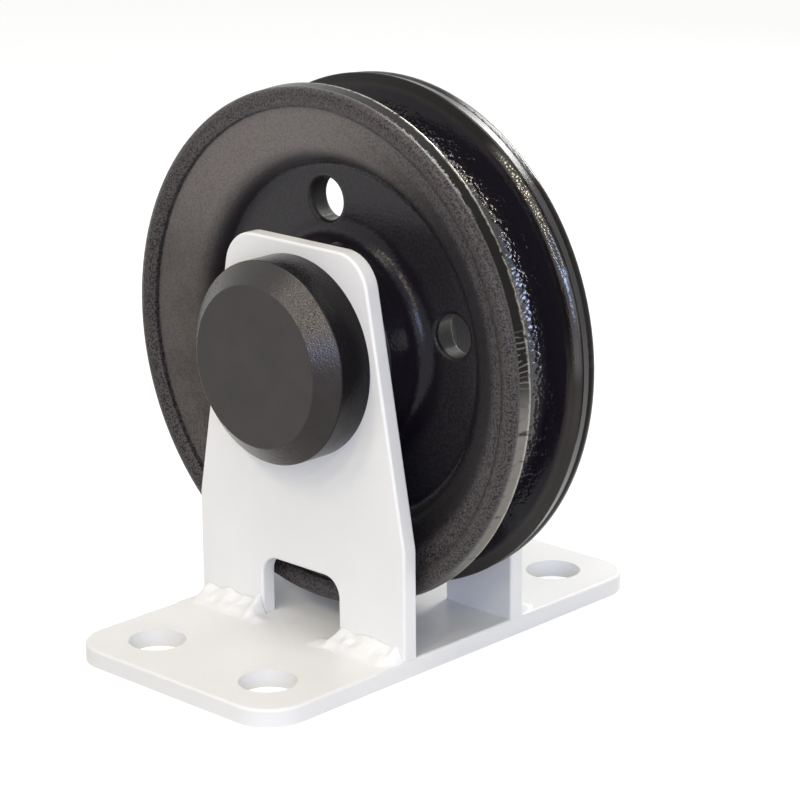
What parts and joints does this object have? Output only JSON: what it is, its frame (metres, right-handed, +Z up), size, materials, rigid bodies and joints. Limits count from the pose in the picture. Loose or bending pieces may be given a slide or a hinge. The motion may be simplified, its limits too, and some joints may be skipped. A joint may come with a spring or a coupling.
{
  "type": "foot-mounted pulley block",
  "caption": "Upright pulley block: a grooved cast sheave with web holes, on ball bearings between welded uprights on a drilled foot plate, with capped axle ends.",
  "frame": {"origin": "centre of the foot plate's underside, which is the bottom centre of the bounding box", "axes": "+Z up, square to the foot plate; +Y along the axle, from the front cap to the rear cap; +X across the uprights"},
  "size_m": [0.1448, 0.15, 0.1559],
  "materials": {
    "white_paint": "satin powder coat",
    "black_paint": "gloss paint over rough casting",
    "zinc_steel": "zinc plated",
    "bearing_steel": "ground",
    "spring_steel": "phosphated",
    "seal_rubber": "matte",
    "cage_plastic": "moulded",
    "cap_plastic": "fine grained"
  },
  "bodies": {
    "frame": {"base_plate": "white_paint", "front_upright": "white_paint", "rear_upright": "white_paint", "front_weld_beads": "white_paint", "rear_weld_beads": "white_paint", "axle_bolt": "zinc_steel", "axle_washer": "zinc_steel", "lock_nut": "zinc_steel", "front_distance_ring": "zinc_steel", "rear_distance_ring": "zinc_steel", "front_bearing_inner_ring": "bearing_steel", "rear_bearing_inner_ring": "bearing_steel", "front_cap": "cap_plastic", "rear_cap": "cap_plastic"},
    "sheave": {"sheave": "black_paint", "front_bearing_outer_ring": "bearing_steel", "rear_bearing_outer_ring": "bearing_steel", "front_bearing_seals": "seal_rubber", "rear_bearing_seals": "seal_rubber", "front_retaining_ring": "spring_steel", "rear_retaining_ring": "spring_steel"},
    "front_ball_set": {"front_bearing_balls": "bearing_steel", "front_bearing_cage": "cage_plastic"},
    "rear_ball_set": {"rear_bearing_balls": "bearing_steel", "rear_bearing_cage": "cage_plastic"}
  },
  "joints": [
    {"name": "sheave_spin", "type": "hinge", "parent": "frame", "child": "sheave", "pos_m": [0, 0, 0.0835], "axis": [0, 1, 0], "continuous": true},
    {"name": "front_balls_orbit", "type": "hinge", "parent": "frame", "child": "front_ball_set", "pos_m": [0, 0, 0.0835], "axis": [0, 1, 0], "continuous": true},
    {"name": "rear_balls_orbit", "type": "hinge", "parent": "frame", "child": "rear_ball_set", "pos_m": [0, 0, 0.0835], "axis": [0, 1, 0], "continuous": true}
  ],
  "couplings": [
    {"joint": "front_balls_orbit", "follows": "sheave_spin", "ratio": 0.6185},
    {"joint": "rear_balls_orbit", "follows": "sheave_spin", "ratio": 0.6185}
  ]
}
